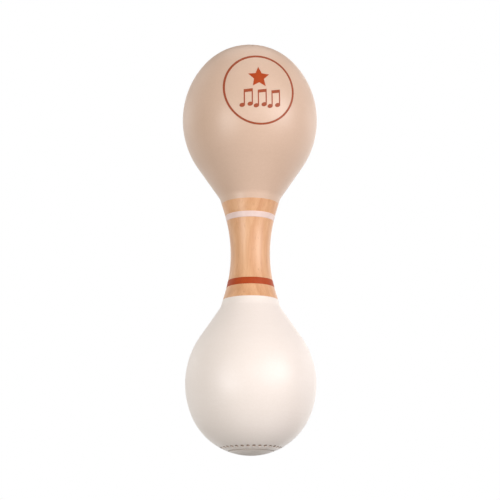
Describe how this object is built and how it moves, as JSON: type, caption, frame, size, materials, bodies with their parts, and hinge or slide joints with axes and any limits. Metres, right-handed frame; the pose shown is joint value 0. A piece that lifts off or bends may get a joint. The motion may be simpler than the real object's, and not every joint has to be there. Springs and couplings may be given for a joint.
{
  "type": "baby rattle",
  "caption": "Hand-held wooden rattle: two hollow painted egg-shaped bulbs on a slim waisted grip, with loose beads inside that sound when it is shaken.",
  "frame": {"origin": "middle of the grip, on the turning axis, at the narrowest point of the waist", "axes": "+Z along the turning axis towards the taupe bulb, which is held uppermost; +X and +Y across the grip"},
  "size_m": [0.049, 0.049, 0.1499],
  "materials": {
    "natural_wood": "satin",
    "taupe_paint": "satin",
    "white_paint": "satin",
    "bead_wood": "matte"
  },
  "bodies": {
    "rattle": {"handle": "natural_wood", "upper_bulb": "taupe_paint", "lower_bulb": "white_paint", "upper_plug": "taupe_paint", "lower_plug": "white_paint"},
    "upper_bead_1": {"upper_bead_1": "bead_wood"},
    "upper_bead_2": {"upper_bead_2": "bead_wood"},
    "upper_bead_3": {"upper_bead_3": "bead_wood"},
    "upper_bead_4": {"upper_bead_4": "bead_wood"},
    "upper_bead_5": {"upper_bead_5": "bead_wood"},
    "upper_bead_6": {"upper_bead_6": "bead_wood"},
    "upper_bead_7": {"upper_bead_7": "bead_wood"},
    "lower_bead_1": {"lower_bead_1": "bead_wood"},
    "lower_bead_2": {"lower_bead_2": "bead_wood"},
    "lower_bead_3": {"lower_bead_3": "bead_wood"},
    "lower_bead_4": {"lower_bead_4": "bead_wood"},
    "lower_bead_5": {"lower_bead_5": "bead_wood"},
    "lower_bead_6": {"lower_bead_6": "bead_wood"},
    "lower_bead_7": {"lower_bead_7": "bead_wood"}
  },
  "joints": [
    {"name": "upper_bead_1_slide", "type": "slide", "parent": "rattle", "child": "upper_bead_1", "axis": [0, 0, 1], "range_m": [0, 0.0391]},
    {"name": "upper_bead_2_slide", "type": "slide", "parent": "rattle", "child": "upper_bead_2", "axis": [0, 0, 1], "range_m": [0, 0.0391]},
    {"name": "upper_bead_3_slide", "type": "slide", "parent": "rattle", "child": "upper_bead_3", "axis": [0, 0, 1], "range_m": [0, 0.0391]},
    {"name": "upper_bead_4_slide", "type": "slide", "parent": "rattle", "child": "upper_bead_4", "axis": [0, 0, 1], "range_m": [0, 0.0391]},
    {"name": "upper_bead_5_slide", "type": "slide", "parent": "rattle", "child": "upper_bead_5", "axis": [0, 0, 1], "range_m": [0, 0.0391]},
    {"name": "upper_bead_6_slide", "type": "slide", "parent": "rattle", "child": "upper_bead_6", "axis": [0, 0, 1], "range_m": [0, 0.0391]},
    {"name": "upper_bead_7_slide", "type": "slide", "parent": "rattle", "child": "upper_bead_7", "axis": [0, 0, 1], "range_m": [0, 0.0391]},
    {"name": "lower_bead_1_slide", "type": "slide", "parent": "rattle", "child": "lower_bead_1", "axis": [0, 0, 1], "range_m": [0, 0.0339]},
    {"name": "lower_bead_2_slide", "type": "slide", "parent": "rattle", "child": "lower_bead_2", "axis": [0, 0, 1], "range_m": [0, 0.0339]},
    {"name": "lower_bead_3_slide", "type": "slide", "parent": "rattle", "child": "lower_bead_3", "axis": [0, 0, 1], "range_m": [0, 0.0339]},
    {"name": "lower_bead_4_slide", "type": "slide", "parent": "rattle", "child": "lower_bead_4", "axis": [0, 0, 1], "range_m": [0, 0.0339]},
    {"name": "lower_bead_5_slide", "type": "slide", "parent": "rattle", "child": "lower_bead_5", "axis": [0, 0, 1], "range_m": [0, 0.0339]},
    {"name": "lower_bead_6_slide", "type": "slide", "parent": "rattle", "child": "lower_bead_6", "axis": [0, 0, 1], "range_m": [0, 0.0339]},
    {"name": "lower_bead_7_slide", "type": "slide", "parent": "rattle", "child": "lower_bead_7", "axis": [0, 0, 1], "range_m": [0, 0.0339]}
  ]
}
